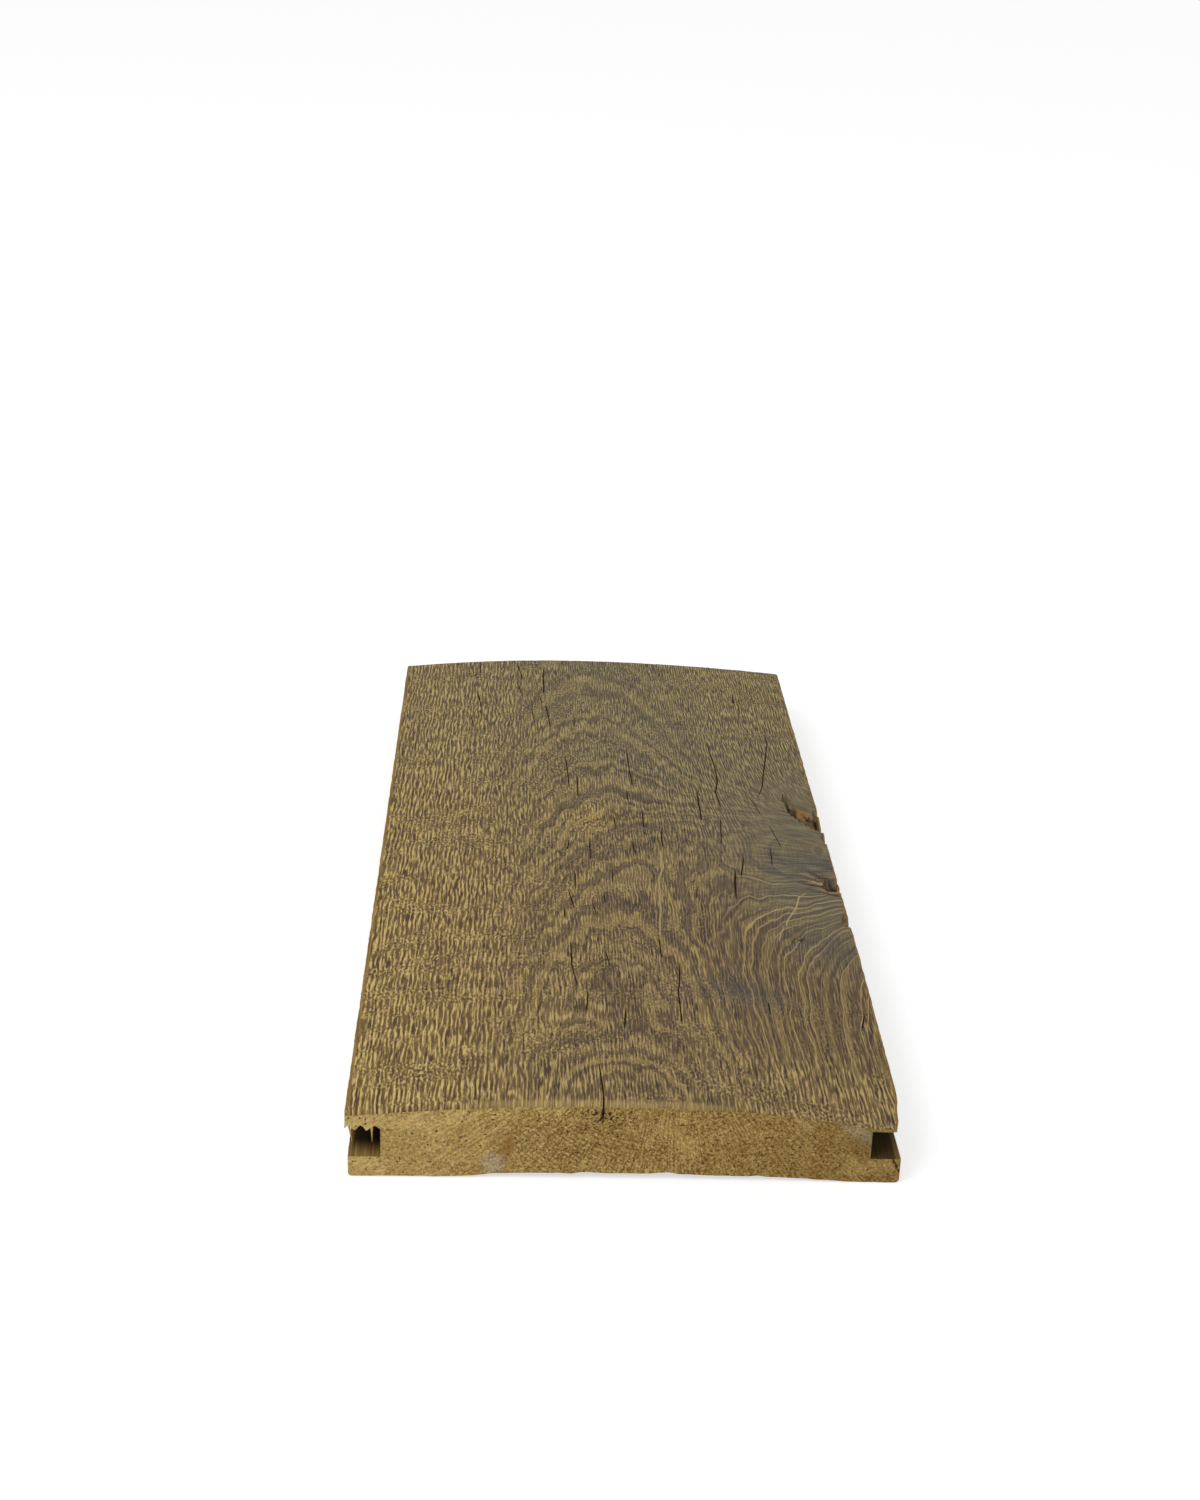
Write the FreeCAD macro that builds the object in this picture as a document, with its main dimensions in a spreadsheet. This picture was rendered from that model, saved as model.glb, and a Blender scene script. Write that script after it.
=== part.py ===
import FreeCAD, Part
import Sketcher
import os

# Wide oak floorboard, sawn and planed as one piece: X across the board, Y along it, Z up.
# The walking face is crowned, the underside is hollow between two flat strips, and both
# long edges are grooved for a loose tongue. The front right corner is worn down to a thin
# lip, the front end has a short split, and two knots break the right edge.

doc = FreeCAD.newDocument("wide_plank_floorboard")

# Driving dimensions, mm. Insets run in from a long edge (the right one, unless the note
# says otherwise) and stations run back from the front end. Turns are in degrees.
SIZES = {
    "board_length": 450.0,
    "board_width": 200.0,
    "edge_height": 27.0,
    "crown_rise": 5.2,  # crown over the long edges
    "crown_inset": 90.0,  # from the left edge
    "hollow_rise": 2.3,
    "left_bearing": 34.0,
    "right_bearing": 16.0,
    "lower_lip_setback": 1.0,
    "left_groove_floor": 8.5,
    "left_groove_height": 11.4,
    "left_groove_depth": 12.7,
    "right_groove_floor": 10.2,
    "right_groove_height": 11.0,
    "right_groove_depth": 12.0,
    "lower_edge_radius": 1.6,
    "upper_edge_radius": 1.0,
    "front_easing": 2.4,
    "back_easing": 1.2,
    "wear_run": 280.0,
    "wear_reach": 90.0,
    "wear_middle_drop": 3.6,  # below the crown
    "wear_lip_width": 12.0,
    "wear_lip_thickness": 1.2,  # over the groove, at the front end
    "split_inset": 91.5,  # from the left edge
    "split_length": 13.0,
    "split_width": 1.4,
    "split_depth": 8.2,
    "bark_pocket_inset": 7.0,
    "bark_pocket_station": 256.6,
    "bark_pocket_breadth": 8.0,
    "bark_pocket_length": 28.0,
    "bark_pocket_depth": 4.2,
    "bark_pocket_turn": 33.0,
    "bark_hook_inset": 13.6,
    "bark_hook_station": 278.5,
    "bark_hook_breadth": 4.4,
    "bark_hook_length": 9.0,
    "bark_hook_depth": 3.0,
    "bark_hook_turn": -12.0,
    "bark_mouth_inset": 0.0,
    "bark_mouth_station": 256.0,
    "bark_mouth_breadth": 5.0,
    "bark_mouth_length": 21.0,
    "bark_mouth_depth": 8.0,
    "bark_mouth_turn": 4.0,
    "edge_knot_inset": 0.5,
    "edge_knot_station": 187.5,
    "edge_knot_breadth": 13.0,
    "edge_knot_length": 12.0,
    "edge_knot_depth": 7.5,
    "edge_knot_turn": 15.0,
    "upper_nick_inset": 0.0,
    "upper_nick_station": 236.0,
    "upper_nick_breadth": 3.2,
    "upper_nick_length": 5.0,
    "upper_nick_depth": 3.6,
    "upper_nick_turn": 0.0,
    "lower_nick_inset": 0.0,
    "lower_nick_station": 153.0,
    "lower_nick_breadth": 6.0,
    "lower_nick_length": 10.0,
    "lower_nick_depth": 4.2,
    "lower_nick_turn": 10.0,
}

sheet = doc.addObject("Spreadsheet::Sheet", "sizes")
for row, (name, value) in enumerate(SIZES.items(), start=1):
    sheet.set("A%d" % row, name.replace("_", " "))
    sheet.set("B%d" % row, str(value))
    sheet.setAlias("B%d" % row, name)
doc.recompute()


# A length with both its value and the formula that gives it from the sheet, so that what
# is drawn and the formula that holds it always agree.
class Length:
    def __init__(self, value, formula):
        self.value = value
        self.formula = formula

    def __add__(self, other):
        return Length(self.value + other.value, "(%s + %s)" % (self.formula, other.formula))

    def __sub__(self, other):
        return Length(self.value - other.value, "(%s - %s)" % (self.formula, other.formula))

    def __neg__(self):
        return Length(-self.value, "(0 - %s)" % self.formula)

    def __truediv__(self, divisor):
        return Length(self.value / divisor, "(%s / %g)" % (self.formula, divisor))


size = {name: Length(value, "sizes." + name) for name, value in SIZES.items()}
ground = Length(0.0, "0")
overcut = Length(5.0, "5")  # how far a cutting profile runs past the face that it opens
run_out_lift = Length(0.4, "0.4")  # over the crown, where the worn face leaves the board


def new_sketch(body, name, role, offset=None):
    sketch = body.newObject("Sketcher::SketchObject", name)
    plane = [feature for feature in body.Origin.OriginFeatures if feature.Role == role][0]
    sketch.AttachmentSupport = [(plane, "")]
    sketch.MapMode = "FlatFace"
    if offset:
        sketch.setExpression("AttachmentOffset.Base.z", offset.formula)
    return sketch


# Holds a point or an arc's centre at a distance from the sketch's origin.
def hold(sketch, kind, geometry, point, length):
    constraint = Sketcher.Constraint(kind, -1, 1, geometry, point, length.value)
    index = sketch.addConstraint(constraint)
    sketch.setExpression("Constraints[%d]" % index, length.formula)


def vector_at(place):
    across, up = place
    return FreeCAD.Vector(across.value, up.value, 0)


# The middle of the arc from start to end whose centre stands at centre_x.
def middle_of_arc(start, end, centre_x):
    chord = end - start
    halfway = (start + end) / 2
    centre_y = halfway.y - chord.x / chord.y * (centre_x - halfway.x)
    centre = FreeCAD.Vector(centre_x, centre_y, 0)
    radius = (start - centre).Length
    return centre + (halfway - centre).normalize() * radius


# A closed outline through the corners. An edge in through is an arc that passes the place
# given there, and an edge in centred is an arc whose centre stands that far across.
def draw_outline(sketch, corners, through=None, centred=None):
    through = through or {}
    centred = centred or {}
    ends = []
    for edge, corner in enumerate(corners):
        start = vector_at(corner)
        end = vector_at(corners[(edge + 1) % len(corners)])
        ends.append((1, 2))
        if edge in through or edge in centred:
            if edge in through:
                middle = vector_at(through[edge])
            else:
                middle = middle_of_arc(start, end, centred[edge].value)
            if (middle - start).cross(end - middle).z < 0:
                start, end = end, start
                ends[edge] = (2, 1)
            sketch.addGeometry(Part.ArcOfCircle(start, middle, end), False)
        else:
            sketch.addGeometry(Part.LineSegment(start, end), False)
    for edge, corner in enumerate(corners):
        following = (edge + 1) % len(corners)
        joint = (edge, ends[edge][1], following, ends[following][0])
        sketch.addConstraint(Sketcher.Constraint("Coincident", *joint))
        for kind, length in zip(("DistanceX", "DistanceY"), corner):
            hold(sketch, kind, edge, ends[edge][0], length)
    for edge, place in through.items():
        mark = sketch.addGeometry(Part.Point(vector_at(place)), True)
        sketch.addConstraint(Sketcher.Constraint("PointOnObject", mark, 1, edge))
        for kind, length in zip(("DistanceX", "DistanceY"), place):
            hold(sketch, kind, mark, 1, length)
    for edge, length in centred.items():
        hold(sketch, "DistanceX", edge, 3, length)


def round_edges(body, name, is_rounded):
    doc.recompute()
    base = body.Tip
    names = []
    for index, edge in enumerate(base.Shape.Edges, start=1):
        if is_rounded(edge.BoundBox):
            names.append("Edge%d" % index)
    fillet = body.newObject("PartDesign::Fillet", name)
    fillet.Base = (base, names)
    fillet.setExpression("Radius", "sizes." + name)


floorboard = doc.addObject("PartDesign::Body", "floorboard")
floorboard.Label = "floorboard"
floorboard.Placement = FreeCAD.Placement()

right = size["board_width"] / 2
left = -right
back = size["board_length"] / 2
front = -back
crown_line = left + size["crown_inset"]
crown = size["edge_height"] + size["crown_rise"]
past_left = left - overcut
past_right = right + overcut

# The blank's section as planed. Each side steps in at the middle of its groove, so that
# the upper lips close against the neighbouring boards and the lower lips stand clear.
lower_left = left + size["lower_lip_setback"]
lower_right = right - size["lower_lip_setback"]
hollow_left = lower_left + size["left_bearing"]
hollow_right = lower_right - size["right_bearing"]
left_step = size["left_groove_floor"] + size["left_groove_height"] / 2
right_step = size["right_groove_floor"] + size["right_groove_height"] / 2

section = new_sketch(floorboard, "section", "XZ_Plane")
draw_outline(
    section,
    [
        (lower_right, ground),
        (lower_right, right_step),
        (right, right_step),
        (right, size["edge_height"]),
        (crown_line, crown),
        (left, size["edge_height"]),
        (left, left_step),
        (lower_left, left_step),
        (lower_left, ground),
        (hollow_left, ground),
        (hollow_right, ground),
    ],
    through={9: ((hollow_left + hollow_right) / 2, size["hollow_rise"])},
    centred={3: crown_line, 4: crown_line},
)
blank = floorboard.newObject("PartDesign::Pad", "blank")
blank.Profile = section
blank.SideType = "Symmetric"
blank.setExpression("Length", "sizes.board_length")

# Eased arrises: across both ends of the walking face, then along the four long edges.
NEAR = 0.01  # mm, how closely an edge has to lie at a height or an end


def crowned_at(end):
    def is_rounded(box):
        at_end = abs(box.YMin - end.value) < NEAR and abs(box.YMax - end.value) < NEAR
        return at_end and box.ZMin > size["edge_height"].value - NEAR
    return is_rounded


def long_edge_at(height, half_width):
    def is_rounded(box):
        level = abs(box.ZMin - height.value) < NEAR and abs(box.ZMax - height.value) < NEAR
        outer = max(-box.XMin, box.XMax) > half_width.value - NEAR
        return level and outer and box.YLength > back.value
    return is_rounded


round_edges(floorboard, "front_easing", crowned_at(front))
round_edges(floorboard, "back_easing", crowned_at(back))
round_edges(floorboard, "upper_edge_radius", long_edge_at(size["edge_height"], right))
round_edges(floorboard, "lower_edge_radius", long_edge_at(ground, lower_right))

# Worn corner: a wedge that rises towards the back takes the walking face down to a thin
# lip over the right groove, and runs out where it meets the crowned face.
wear_start = right - size["wear_reach"]
lip_start = right - size["wear_lip_width"]
lip_top = size["right_groove_floor"] + size["right_groove_height"] + size["wear_lip_thickness"]
run_out = crown + run_out_lift
clear_above = run_out + overcut

wear_front = new_sketch(floorboard, "wear_front", "XZ_Plane", back + overcut)
draw_outline(
    wear_front,
    [
        (past_right, lip_top),
        (past_right, clear_above),
        (wear_start, clear_above),
        (wear_start, run_out),
        (lip_start, lip_top),
    ],
    through={3: ((wear_start + lip_start) / 2, crown - size["wear_middle_drop"])},
)
wear_back = new_sketch(floorboard, "wear_back", "XZ_Plane", back - size["wear_run"])
draw_outline(
    wear_back,
    [
        (past_right, run_out),
        (past_right, clear_above),
        (wear_start, clear_above),
        (wear_start, run_out),
        (lip_start, run_out),
    ],
)
wear = floorboard.newObject("PartDesign::SubtractiveLoft", "worn_corner")
wear.Profile = wear_front
wear.Sections = [wear_back]
wear.Ruled = True

# Grooves for a loose tongue, one along each long edge.
left_wall = left + size["left_groove_depth"]
right_wall = right - size["right_groove_depth"]
for side, wall, outside in (("left", left_wall, past_left), ("right", right_wall, past_right)):
    floor = size[side + "_groove_floor"]
    ceiling = floor + size[side + "_groove_height"]
    profile = new_sketch(floorboard, side + "_groove_profile", "XZ_Plane")
    corners = [(wall, floor), (outside, floor), (outside, ceiling), (wall, ceiling)]
    draw_outline(profile, corners)
    groove = floorboard.newObject("PartDesign::Pocket", side + "_groove")
    groove.Profile = profile
    groove.Type = "ThroughAll"
    groove.SideType = "Symmetric"

# Short split in the front end, open at the arris and closing to a point.
split_line = left + size["split_inset"]
split_left = split_line - size["split_width"] / 2
split_right = split_line + size["split_width"] / 2
split_outline = new_sketch(floorboard, "split_outline", "XY_Plane", clear_above)
draw_outline(
    split_outline,
    [
        (split_left, front - overcut),
        (split_right, front - overcut),
        (split_right, front),
        (split_line, front + size["split_length"]),
        (split_left, front),
    ],
)
split = floorboard.newObject("PartDesign::Pocket", "end_split")
split.Profile = split_outline
split.setExpression("Length", (clear_above - crown + size["split_depth"]).formula)

# Bark pocket, knot and nicks along the right edge: bowls scooped out of the walking face.
for bowl in ("bark_pocket", "bark_hook", "bark_mouth", "edge_knot", "upper_nick", "lower_nick"):
    hollow = floorboard.newObject("PartDesign::SubtractiveEllipsoid", bowl)
    hollow.setExpression("Radius1", size[bowl + "_depth"].formula)
    hollow.setExpression("Radius2", (size[bowl + "_breadth"] / 2).formula)
    hollow.setExpression("Radius3", (size[bowl + "_length"] / 2).formula)
    hollow.setExpression("Placement.Base.x", (right - size[bowl + "_inset"]).formula)
    hollow.setExpression("Placement.Base.y", (front + size[bowl + "_station"]).formula)
    hollow.setExpression("Placement.Base.z", size["edge_height"].formula)
    hollow.setExpression("Placement.Rotation.Angle", size[bowl + "_turn"].formula + " * 1 deg")

doc.recompute()
for feature in doc.Objects:
    if "Invalid" in feature.State or "Error" in feature.State:
        raise RuntimeError("%s failed: %s" % (feature.Name, feature.State))

# Every feature after the blank has to take wood away.
volume_left = blank.Shape.Volume
for feature in floorboard.Group:
    if hasattr(feature, "AddSubShape") and feature is not blank:
        removed = volume_left - feature.Shape.Volume
        if removed <= 0:
            raise RuntimeError("%s cut nothing" % feature.Name)
        print("%-17s removes %8.1f mm3" % (feature.Name, removed))
        volume_left = feature.Shape.Volume

shape = floorboard.Shape
if shape.isNull() or not shape.isValid() or len(shape.Solids) != 1:
    raise RuntimeError("the floorboard is not one valid solid")
print("volume %.1f mm3, %d faces" % (shape.Volume, len(shape.Faces)))

os.makedirs("parts", exist_ok=True)
shape.exportStep("parts/%s.step" % floorboard.Label)
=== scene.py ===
import math

import bmesh
import bpy
import numpy as np
from mathutils import Matrix, Vector, noise
from mathutils.bvhtree import BVHTree


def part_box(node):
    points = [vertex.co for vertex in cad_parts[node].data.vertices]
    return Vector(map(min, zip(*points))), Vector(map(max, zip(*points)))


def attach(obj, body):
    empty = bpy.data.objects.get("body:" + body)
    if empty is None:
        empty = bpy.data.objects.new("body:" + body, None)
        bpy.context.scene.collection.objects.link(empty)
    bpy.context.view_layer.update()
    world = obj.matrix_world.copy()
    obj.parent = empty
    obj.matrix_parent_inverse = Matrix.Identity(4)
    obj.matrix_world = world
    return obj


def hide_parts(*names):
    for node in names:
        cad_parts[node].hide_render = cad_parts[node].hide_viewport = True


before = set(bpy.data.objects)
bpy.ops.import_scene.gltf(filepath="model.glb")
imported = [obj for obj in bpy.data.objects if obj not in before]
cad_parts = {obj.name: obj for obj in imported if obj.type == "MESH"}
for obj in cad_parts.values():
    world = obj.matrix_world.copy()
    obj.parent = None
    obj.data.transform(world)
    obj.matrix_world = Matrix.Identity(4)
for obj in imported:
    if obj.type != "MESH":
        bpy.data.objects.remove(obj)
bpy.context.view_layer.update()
mm = 0.001

# X across the board, Y along it and Z up, as in the frame. Dictionaries hold millimetres.

halfWidth, halfLength = 100, 225


def linear(hexColour):
    parts = [int(hexColour[i:i + 2], 16) / 255 for i in (1, 3, 5)]
    return tuple(p / 12.92 if p < 0.04045 else ((p + 0.055) / 1.055) ** 2.4 for p in parts) + (1.0,)


# adds a node, sets it up, links what it reads and gives back the output asked for
def addNode(tree, kind, inputs=None, out=0, stops=None, **settings):
    made = tree.nodes.new(kind if "Node" in kind else "ShaderNode" + kind)
    for name, value in settings.items():
        setattr(made, name, value)
    if stops:
        elements = made.color_ramp.elements
        elements[0].position, elements[0].color = stops[0][0], linear(stops[0][1])
        elements[1].position, elements[1].color = stops[-1][0], linear(stops[-1][1])
        for place, hexColour in stops[1:-1]:
            elements.new(place).color = linear(hexColour)
    for key, value in (inputs or {}).items():
        if isinstance(value, bpy.types.NodeSocket):
            tree.links.new(value, made.inputs[key])
        else:
            made.inputs[key].default_value = value
    return made.outputs[out] if made.outputs else None


# the node tree of a new world or material, emptied
def emptyTree(holder):
    holder.use_nodes = True
    holder.node_tree.nodes.clear()
    return holder.node_tree


# rises smoothly from 0 at start to 1 at stop, which may lie below start
def smooth(start, stop, value):
    t = np.clip((value - start) / (stop - start), 0, 1)
    return t * t * (3 - 2 * t)


# a spot: 1 in its middle, fading over its reach in X and in Y
def hump(x, y, centreX, centreY, reachX, reachY):
    return np.exp(-((x - centreX) / reachX) ** 2 - ((y - centreY) / reachY) ** 2)


# 1 inside an oval that is turned from X by some degrees, falling to 0 round its rim
def oval(x, y, centreX, centreY, length, width, turn):
    rimInner, rimOuter = 0.55, 1.15
    c, s = math.cos(math.radians(turn)), math.sin(math.radians(turn))
    along, across = (x - centreX) * c + (y - centreY) * s, (y - centreY) * c - (x - centreX) * s
    return 1 - smooth(rimInner, rimOuter, np.hypot(along / length, across / width))


# smooth bumps, about one for each unit, between -1 and 1
def unevenness(places, seed):
    return np.array([noise.noise(Vector((place, seed, 0.5))) for place in places])


def meshFrom(bm, name):
    mesh = bpy.data.meshes.new(name)
    bm.to_mesh(mesh)
    bm.free()
    return mesh


def addObject(name, data):
    made = bpy.data.objects.new(name, data)
    bpy.context.scene.collection.objects.link(made)
    return made


# Camera, light and floor.

photoView = {
    "place": (-44.6, -899.9, 448.1),
    "pitch": 22.61, "yaw": 2.55, "roll": -2.15,  # degrees: down, to the right, clockwise
    "focalPixels": 2222, "framePixels": 1500,
}


def makeCamera():
    pitch, yaw, roll = (math.radians(photoView[name]) for name in ("pitch", "yaw", "roll"))
    forward = Vector((math.sin(yaw) * math.cos(pitch), math.cos(yaw) * math.cos(pitch), -math.sin(pitch)))
    level = Vector((math.cos(yaw), -math.sin(yaw), 0))
    below = forward.cross(level)
    right = level * math.cos(roll) + below * math.sin(roll)
    up = level * math.sin(roll) - below * math.cos(roll)
    data = bpy.data.cameras.new("photoCamera")
    data.sensor_width = 36
    data.lens = data.sensor_width * photoView["focalPixels"] / photoView["framePixels"]
    data.clip_start, data.clip_end = 0.01, 50
    camera = addObject("photoCamera", data)
    camera.matrix_world = Matrix((right, up, -forward)).transposed().to_4x4()
    camera.location = Vector(photoView["place"]) * mm
    bpy.context.scene.camera = camera


studio = {
    "skyStrength": 0.72,
    "lampPlace": (-1500, -1300, 1900), "lampSize": 1400, "lampPower": 34.0,
    "floorSize": 16000, "floorAlbedo": 0.80, "floorShadowShare": 0.50,
    "floorWhite": 1.06, "floorLit": 0.9,  # what open floor shows, and how much light it gets
}


# 1 for what the camera sees, directly or as a reflection, and 0 for the light on the board
def seenByCamera(tree):
    path = tree.nodes.new("ShaderNodeLightPath").outputs
    return addNode(tree, "Math", {0: path["Is Camera Ray"], 1: path["Is Glossy Ray"]}, operation="MAXIMUM")


def makeStudio():
    world = bpy.data.worlds.new("studio")
    tree = emptyTree(world)
    strength = addNode(tree, "MapRange", {
        "Value": seenByCamera(tree), "To Min": studio["skyStrength"], "To Max": 1.0})
    sky = addNode(tree, "Background", {"Color": (1, 1, 1, 1), "Strength": strength})
    addNode(tree, "OutputWorld", {"Surface": sky})
    bpy.context.scene.world = world

    lamp = bpy.data.lights.new("softLamp", "AREA")
    lamp.shape = "DISK"
    lamp.size = studio["lampSize"] * mm
    lamp.energy = studio["lampPower"]
    holder = addObject("softLamp", lamp)
    holder.location = Vector(studio["lampPlace"]) * mm
    holder.rotation_euler = (-holder.location).to_track_quat("-Z", "Y").to_euler()

    bm = bmesh.new()
    bmesh.ops.create_grid(bm, x_segments=1, y_segments=1, size=studio["floorSize"] * mm / 2)
    floor = addObject("studioFloor", meshFrom(bm, "studioFloor"))
    floor.data.materials.append(paleFloor())


# matt white backdrop board: it shows white to the camera and keeps a faint shadow
def paleFloor():
    material = bpy.data.materials.new("matt white backdrop board")
    tree = emptyTree(material)
    share = studio["floorShadowShare"]
    plain = addNode(tree, "BsdfDiffuse", {"Color": (studio["floorAlbedo"],) * 3 + (1,)})
    shaded = addNode(tree, "BsdfDiffuse", {"Color": (share,) * 3 + (1,)})
    glow = addNode(tree, "Emission", {
        "Color": (1, 1, 1, 1), "Strength": studio["floorWhite"] - share * studio["floorLit"]})
    toCamera = addNode(tree, "AddShader", {0: shaded, 1: glow})
    mixed = addNode(tree, "MixShader", {0: seenByCamera(tree), 1: plain, 2: toCamera})
    addNode(tree, "OutputMaterial", {"Surface": mixed})
    return material


# The tree that the board was sawn from: rings round a pith above the walking face, drawn
# towards the branches that leave the tree beyond the right edge. A spot has the x and y of its
# middle, and its reach in X and in Y.

trunk = {
    "ringWidth": 2.0, "pithX": -2.0, "pithRise": 40.0,
    "taper": 0.06,  # rings crossed for each millimetre along the board
    "swell": 1.0, "swellAt": -112.0, "swellReach": 38.0,  # where the face dips through the rings
    "nest": 3.2, "nestSpot": (-5.0, -172.0, 26.0, 24.0),  # closed rings near the front end
    "branchPull": 78.0, "branchX": 122.0, "branchY": 2.0,
    "branchReachX": 66.0, "branchReachFront": 88.0, "branchReachBack": 50.0,
    "flare": 0.00012, "lean": 22.0, "leanSpot": (112.0, -8.0, 55.0, 62.0),  # of the fibres
}


# the number of the growth ring that a place lies in
def ringAt(x, y, below=0.0):
    swell = trunk["swell"] * (1 + np.tanh((y - trunk["swellAt"]) / trunk["swellReach"]))
    crossed = trunk["taper"] * (y + halfLength) + swell
    rise = trunk["pithRise"] + trunk["ringWidth"] * crossed + below
    radius = np.hypot(x - trunk["pithX"], rise)
    reachY = np.where(y > trunk["branchY"], trunk["branchReachBack"], trunk["branchReachFront"])
    near = hump(x, y, trunk["branchX"], trunk["branchY"], trunk["branchReachX"], reachY)
    nest = trunk["nest"] * hump(x, y, *trunk["nestSpot"])
    return (radius - trunk["branchPull"] * near) / trunk["ringWidth"] + nest


# fibres run along the board and lean in towards the branches
def acrossGrain(x, y):
    lean = trunk["lean"] * hump(x, y, *trunk["leanSpot"])
    return x * (1 + trunk["flare"] * (y + halfLength)) - lean


# Drying checks, split fibres and filled streaks on the walking face: hue, half width, then
# the points that each one runs through.

dryingChecks = [
    ("black", 0.30, (-61, 220), (-60, 206)), ("black", 0.26, (-63, 203), (-62, 196)),
    ("black", 0.38, (-61, 175), (-59, 157)), ("brown", 0.30, (-64, 145), (-62, 130)),
    ("black", 0.32, (-41, 218), (-38, 195)), ("black", 0.32, (-41, 190), (-38, 171)),
    ("black", 0.34, (-27, 210), (-27, 175)), ("black", 0.28, (-29, 169), (-28, 159)),
    ("black", 0.42, (-26, 156), (-24, 128)), ("brown", 0.30, (-33, 150), (-32, 133)),
    ("brown", 0.30, (-12, 142), (-12, 128)), ("brown", 0.34, (-17, 88), (-16, 57)),
    ("red", 0.34, (-12, 66), (-12, 43)), ("black", 0.34, (72, 183), (71, 170)),
    ("brown", 0.30, (74, 168), (73, 161)),
    ("red", 0.38, (53, 116), (54, 99), (55, 85), (55, 68), (53, 55), (54, 35)),
    ("red", 0.34, (53, 24), (51, -4)), ("black", 0.40, (44, 53), (44, 33), (44, 21)),
    ("brown", 0.34, (84, 134), (84, 120), (78, 79), (76, 64), (73, 52)),
    ("brown", 0.34, (69, 49), (72, 34)), ("brown", 0.30, (75, 20), (78, -2)),
    ("red", 0.34, (13, 99), (13, 79), (14, 55)), ("brown", 0.28, (11, 50), (11, 39)),
    ("black", 0.32, (17, 28), (17, 9)), ("brown", 0.30, (4, 20), (4, 8)),
    ("brown", 0.34, (25, 9), (24, -10)), ("black", 0.32, (-17, -7), (-18, -15)),
    ("brown", 0.32, (-8, -6), (-8, -25)), ("black", 0.32, (11, -6), (12, -18)),
    ("brown", 0.34, (-15, -39), (-15, -54)), ("black", 0.36, (-18, -57), (-16, -72)),
    ("black", 0.36, (-20, -74), (-20, -81)), ("brown", 0.28, (-3, -61), (-3, -68)),
    ("brown", 0.28, (1, -37), (1, -47)), ("brown", 0.30, (-8, -69), (-7, -78)),
    ("brown", 0.36, (-18, -104), (-18, -121), (-16, -140)), ("brown", 0.30, (-4, -111), (-3, -122)),
    ("brown", 0.34, (-12, -143), (-13, -159)), ("brown", 0.34, (2, -157), (1, -172)),
    ("pale", 0.60, (23, -12), (23, -33), (21, -43), (20, -74), (18, -96)),
    ("brown", 0.34, (18, -97), (18, -115)),
    ("red", 0.36, (25, -117), (24, -135), (23, -142), (23, -158), (23, -168)),
    ("red", 0.60, (55, -31), (54, -42), (53, -58)), ("brown", 0.40, (60, -17), (57, -36)),
    ("brown", 0.30, (73, -5), (72, -22)), ("brown", 0.34, (37, -49), (36, -60)),
    ("pale", 0.50, (84.5, -48), (80.5, -52), (78.5, -61), (77, -66), (73.5, -74), (71, -82)),
    ("pale", 0.40, (71, -82), (69, -87), (67.5, -94)), ("black", 0.28, (58, -146), (58, -153)),
    ("black", 0.32, (95.5, -148), (93, -158)),
    ("brown", 0.34, (-9.5, -197), (-8.5, -216), (-8.5, -240)),  # runs out in the end split
]
checkDepth = {"black": 2.0, "brown": 1.1, "red": 1.3, "pale": -0.1}  # below the face
checkFade = 12.0  # past its ends, a check lets go of its column over this length
endSplit = {"x": -8.5, "half": 1.0, "cadBack": -211.0, "back": -221.0, "depth": 5.8, "closing": 6.0}

# Knots at the right edge: bark pockets, slits, torn fibres and notches. Each is an oval: where
# its middle lies, half its length and width, its turn from X in degrees, its depth, its hue.

# the near-black hues of the deep notches at the edge and of the first bark pocket's lower rim are painted
# shade
knotMarks = [
    (94.4, 33.4, 13.5, 5.4, -62, 1.0, "#4b3824"), (94.6, 37.6, 7.0, 2.2, -48, -0.3, "#8b6d40"),
    (95.8, 34.0, 6.0, 0.7, -58, 0.3, "#2c1f15"), (97.0, 30.6, 5.6, 1.0, -56, -0.2, "#654f36"),
    (92.6, 29.2, 10.5, 1.5, -64, 1.6, "#17110d"), (99.4, 23.0, 4.4, 2.2, -60, 4.5, "#0e0b09"),
    (85.8, 50.2, 4.6, 0.9, 84, 2.6, "#120e0c"), (87.4, 42.6, 5.0, 0.8, -60, 1.5, "#2a1d14"),
    (100.2, 9.8, 4.6, 1.2, 85, 3.2, "#17120e"), (92.5, 1.5, 9.0, 0.6, 4, 0.2, "#7c6038"),
    (94.5, -31.0, 9.0, 0.8, -34, 1.2, "#3a2a1a"), (92.4, -33.2, 10.5, 0.9, -32, 0.0, "#9c7a4a"),
    (95.0, -34.9, 7.5, 0.8, -30, 1.3, "#46321e"), (91.5, -36.6, 10.0, 0.7, -14, -0.1, "#a98d60"),
    (91.0, -38.6, 11.0, 0.8, -8, 0.9, "#3a2b1d"), (96.6, -40.6, 5.2, 1.5, -8, 4.5, "#0f0c0a"),
    (93.5, -43.4, 7.0, 0.9, -10, 0.2, "#957045"), (94.0, -46.0, 7.5, 0.7, -4, 1.0, "#3c2d1e"),
    (99.6, -72.0, 3.2, 1.9, 20, 4.2, "#18120d"), (77.1, -91.2, 1.2, 0.8, 70, 1.3, "#17110d"),
]


# The board's mesh.

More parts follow.
